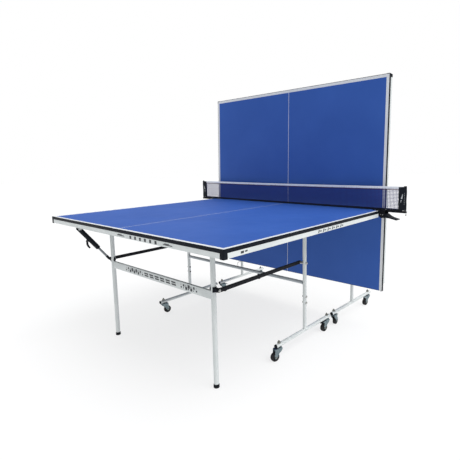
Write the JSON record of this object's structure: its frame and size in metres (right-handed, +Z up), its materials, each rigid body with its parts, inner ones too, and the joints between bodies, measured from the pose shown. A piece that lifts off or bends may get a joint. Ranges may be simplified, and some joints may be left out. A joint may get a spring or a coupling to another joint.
{
  "type": "ping pong table",
  "caption": "Folding ping pong table on swivel casters, one half laid flat and the other stood upright behind the clamped net for solo play.",
  "frame": {"origin": "on the floor, under the middle of the whole object's bounding box as stored (front half flat, rear half upright)", "axes": "+X along the playing length, from the front baseline towards the upright rear half; +Y across the table along the net; +Z up"},
  "size_m": [1.7288, 1.838, 1.5973],
  "materials": {
    "board": "matt blue lacquer with white lines",
    "edge_band": "satin black edge band",
    "white_steel": "white powder coat",
    "black_steel": "black powder coat",
    "black_plastic": "moulded, fine texture",
    "wheel_rubber": "satin",
    "zinc": "blue-grey zinc plate",
    "net": "knotted mesh"
  },
  "bodies": {
    "front_trolley": {"front_left_stand": "white_steel", "front_right_stand": "white_steel", "front_left_post": "white_steel", "front_right_post": "white_steel", "front_crossbar": "white_steel"},
    "front_top": {"front_board": "board", "front_edge_band": "edge_band", "front_apron_frame": "white_steel", "front_left_corner": "black_plastic", "front_right_corner": "black_plastic", "net": "net", "net_left_post": "black_plastic", "net_right_post": "black_plastic"},
    "front_legs": {"front_leg_frame": "white_steel", "front_left_foot": "black_plastic", "front_right_foot": "black_plastic"},
    "front_struts": {"front_left_strut": "black_steel", "front_right_strut": "black_steel"},
    "front_latch_sleeve": {"front_latch_sleeve": "black_plastic"},
    "front_latch_rod": {"front_latch_rod": "zinc"},
    "front_latch_trigger": {"front_latch_trigger": "black_plastic"},
    "front_left_outer_swivel": {"front_left_outer_fork": "zinc"},
    "front_left_outer_wheel": {"front_left_outer_wheel": "wheel_rubber"},
    "front_left_inner_swivel": {"front_left_inner_fork": "zinc"},
    "front_left_inner_wheel": {"front_left_inner_wheel": "wheel_rubber"},
    "front_right_outer_swivel": {"front_right_outer_fork": "zinc"},
    "front_right_outer_wheel": {"front_right_outer_wheel": "wheel_rubber"},
    "front_right_inner_swivel": {"front_right_inner_fork": "zinc"},
    "front_right_inner_wheel": {"front_right_inner_wheel": "wheel_rubber"},
    "rear_trolley": {"rear_left_stand": "white_steel", "rear_right_stand": "white_steel", "rear_left_post": "white_steel", "rear_right_post": "white_steel", "rear_crossbar": "white_steel"},
    "rear_top": {"rear_board": "board", "rear_edge_band": "edge_band", "rear_apron_frame": "white_steel", "rear_left_corner": "black_plastic", "rear_right_corner": "black_plastic"},
    "rear_legs": {"rear_leg_frame": "white_steel", "rear_left_foot": "black_plastic", "rear_right_foot": "black_plastic"},
    "rear_struts": {"rear_left_strut": "black_steel", "rear_right_strut": "black_steel"},
    "rear_latch_sleeve": {"rear_latch_sleeve": "black_plastic"},
    "rear_latch_rod": {"rear_latch_rod": "zinc"},
    "rear_latch_trigger": {"rear_latch_trigger": "black_plastic"},
    "rear_left_outer_swivel": {"rear_left_outer_fork": "zinc"},
    "rear_left_outer_wheel": {"rear_left_outer_wheel": "wheel_rubber"},
    "rear_left_inner_swivel": {"rear_left_inner_fork": "zinc"},
    "rear_left_inner_wheel": {"rear_left_inner_wheel": "wheel_rubber"},
    "rear_right_outer_swivel": {"rear_right_outer_fork": "zinc"},
    "rear_right_outer_wheel": {"rear_right_outer_wheel": "wheel_rubber"},
    "rear_right_inner_swivel": {"rear_right_inner_fork": "zinc"},
    "rear_right_inner_wheel": {"rear_right_inner_wheel": "wheel_rubber"},
    "net_left_lever": {"net_left_lever": "black_plastic"},
    "net_right_lever": {"net_right_lever": "black_plastic"}
  },
  "joints": [
    {"name": "front_fold", "type": "hinge", "parent": "front_trolley", "child": "front_top", "pos_m": [0.0044, 0, 0.728], "axis": [0, 1, 0], "range_deg": [0, 90]},
    {"name": "front_leg_swing", "type": "hinge", "parent": "front_top", "child": "front_legs", "pos_m": [-0.6416, 0, 0.728], "axis": [0, 1, 0], "range_deg": [-90, 0]},
    {"name": "front_strut_swing", "type": "hinge", "parent": "front_trolley", "child": "front_struts", "pos_m": [0.0044, 0, 0.49], "axis": [0, 1, 0], "range_deg": [0, 90]},
    {"name": "front_latch_sleeve_swing", "type": "hinge", "parent": "front_top", "child": "front_latch_sleeve", "pos_m": [-0.8306, 0.4765, 0.708], "axis": [0, 1, 0], "range_deg": [-52, 0]},
    {"name": "front_latch_rod_swing", "type": "hinge", "parent": "front_legs", "child": "front_latch_rod", "pos_m": [-0.6596, 0.4765, 0.499], "axis": [0, 1, 0], "range_deg": [0, 40]},
    {"name": "front_trigger_pull", "type": "hinge", "parent": "front_latch_sleeve", "child": "front_latch_trigger", "pos_m": [-0.78705, 0.4765, 0.62476], "axis": [0, 1, 0], "range_deg": [-12, 0], "stiffness_Nm_per_rad": 0.4},
    {"name": "rear_roll", "type": "slide", "parent": "front_trolley", "child": "rear_trolley", "axis": [1, 0, 0], "range_m": [0, 0.4431]},
    {"name": "rear_fold", "type": "hinge", "parent": "rear_trolley", "child": "rear_top", "pos_m": [0.5874, 0, 0.728], "axis": [0, 1, 0], "range_deg": [0, 88.6]},
    {"name": "rear_leg_swing", "type": "hinge", "parent": "rear_top", "child": "rear_legs", "pos_m": [0.60318, 0, 1.37381], "axis": [0, 1, 0], "range_deg": [-90, 0]},
    {"name": "rear_strut_swing", "type": "hinge", "parent": "rear_trolley", "child": "rear_struts", "pos_m": [0.5874, 0, 0.49], "axis": [0, 1, 0], "range_deg": [0, 90]},
    {"name": "rear_latch_sleeve_swing", "type": "hinge", "parent": "rear_top", "child": "rear_latch_sleeve", "pos_m": [0.62779, -0.4765, 1.56226], "axis": [0, 1, 0], "range_deg": [-52, 0]},
    {"name": "rear_latch_rod_swing", "type": "hinge", "parent": "rear_legs", "child": "rear_latch_rod", "pos_m": [0.62118, -0.4765, 1.14481], "axis": [0, 1, 0], "range_deg": [0, 40]},
    {"name": "rear_trigger_pull", "type": "hinge", "parent": "rear_latch_sleeve", "child": "rear_latch_trigger", "pos_m": [0.64537, -0.4765, 1.46998], "axis": [0, -1, 0], "range_deg": [-12, 0], "stiffness_Nm_per_rad": 0.4},
    {"name": "front_left_outer_swivel", "type": "hinge", "parent": "front_trolley", "child": "front_left_outer_swivel", "pos_m": [-0.2426, 0.527, 0.0744], "axis": [0, 0, 1], "continuous": true},
    {"name": "front_left_outer_roll", "type": "hinge", "parent": "front_left_outer_swivel", "child": "front_left_outer_wheel", "pos_m": [-0.21487, 0.5231, 0.025], "axis": [-0.1392, -0.9903, 0], "continuous": true},
    {"name": "front_left_inner_swivel", "type": "hinge", "parent": "front_trolley", "child": "front_left_inner_swivel", "pos_m": [0.2514, 0.527, 0.0744], "axis": [0, 0, 1], "continuous": true},
    {"name": "front_left_inner_roll", "type": "hinge", "parent": "front_left_inner_swivel", "child": "front_left_inner_wheel", "pos_m": [0.22383, 0.52214, 0.025], "axis": [-0.1736, 0.9848, 0], "continuous": true},
    {"name": "front_right_outer_swivel", "type": "hinge", "parent": "front_trolley", "child": "front_right_outer_swivel", "pos_m": [-0.2426, -0.527, 0.0744], "axis": [0, 0, 1], "continuous": true},
    {"name": "front_right_outer_roll", "type": "hinge", "parent": "front_right_outer_swivel", "child": "front_right_outer_wheel", "pos_m": [-0.26952, -0.51928, 0.025], "axis": [0.2756, 0.9613, 0], "continuous": true},
    {"name": "front_right_inner_swivel", "type": "hinge", "parent": "front_trolley", "child": "front_right_inner_swivel", "pos_m": [0.2514, -0.527, 0.0744], "axis": [0, 0, 1], "continuous": true},
    {"name": "front_right_inner_roll", "type": "hinge", "parent": "front_right_inner_swivel", "child": "front_right_inner_wheel", "pos_m": [0.22367, -0.5231, 0.025], "axis": [0.1392, 0.9903, 0], "continuous": true},
    {"name": "rear_left_outer_swivel", "type": "hinge", "parent": "rear_trolley", "child": "rear_left_outer_swivel", "pos_m": [0.8344, -0.527, 0.0744], "axis": [0, 0, 1], "continuous": true},
    {"name": "rear_left_outer_roll", "type": "hinge", "parent": "rear_left_outer_swivel", "child": "rear_left_outer_wheel", "pos_m": [0.80667, -0.5231, 0.025], "axis": [0.1392, 0.9903, 0], "continuous": true},
    {"name": "rear_left_inner_swivel", "type": "hinge", "parent": "rear_trolley", "child": "rear_left_inner_swivel", "pos_m": [0.3404, -0.527, 0.0744], "axis": [0, 0, 1], "continuous": true},
    {"name": "rear_left_inner_roll", "type": "hinge", "parent": "rear_left_inner_swivel", "child": "rear_left_inner_wheel", "pos_m": [0.36813, -0.5231, 0.025], "axis": [0.1392, -0.9903, 0], "continuous": true},
    {"name": "rear_right_outer_swivel", "type": "hinge", "parent": "rear_trolley", "child": "rear_right_outer_swivel", "pos_m": [0.8344, 0.527, 0.0744], "axis": [0, 0, 1], "continuous": true},
    {"name": "rear_right_outer_roll", "type": "hinge", "parent": "rear_right_outer_swivel", "child": "rear_right_outer_wheel", "pos_m": [0.80667, 0.5231, 0.025], "axis": [-0.1392, 0.9903, 0], "continuous": true},
    {"name": "rear_right_inner_swivel", "type": "hinge", "parent": "rear_trolley", "child": "rear_right_inner_swivel", "pos_m": [0.3404, 0.527, 0.0744], "axis": [0, 0, 1], "continuous": true},
    {"name": "rear_right_inner_roll", "type": "hinge", "parent": "rear_right_inner_swivel", "child": "rear_right_inner_wheel", "pos_m": [0.36825, 0.52407, 0.025], "axis": [-0.1045, -0.9945, 0], "continuous": true},
    {"name": "net_left_lever_squeeze", "type": "hinge", "parent": "front_top", "child": "net_left_lever", "pos_m": [0.4994, 0.7845, 0.738], "axis": [1, 0, 0], "range_deg": [0, 10], "stiffness_Nm_per_rad": 4},
    {"name": "net_right_lever_squeeze", "type": "hinge", "parent": "front_top", "child": "net_right_lever", "pos_m": [0.4994, -0.7845, 0.738], "axis": [1, 0, 0], "range_deg": [-10, 0], "stiffness_Nm_per_rad": 4}
  ],
  "couplings": [
    {"joint": "front_leg_swing", "follows": "front_fold", "ratio": -1},
    {"joint": "front_strut_swing", "follows": "front_fold", "ratio": 1},
    {"joint": "front_latch_sleeve_swing", "follows": "front_fold", "ratio": -0.5665},
    {"joint": "front_latch_rod_swing", "follows": "front_fold", "ratio": 0.4335},
    {"joint": "rear_leg_swing", "follows": "rear_fold", "ratio": -1},
    {"joint": "rear_strut_swing", "follows": "rear_fold", "ratio": 1},
    {"joint": "rear_latch_sleeve_swing", "follows": "rear_fold", "ratio": -0.5665},
    {"joint": "rear_latch_rod_swing", "follows": "rear_fold", "ratio": 0.4335},
    {"joint": "rear_roll", "follows": "rear_fold", "m_per_rad": 0.28648}
  ]
}
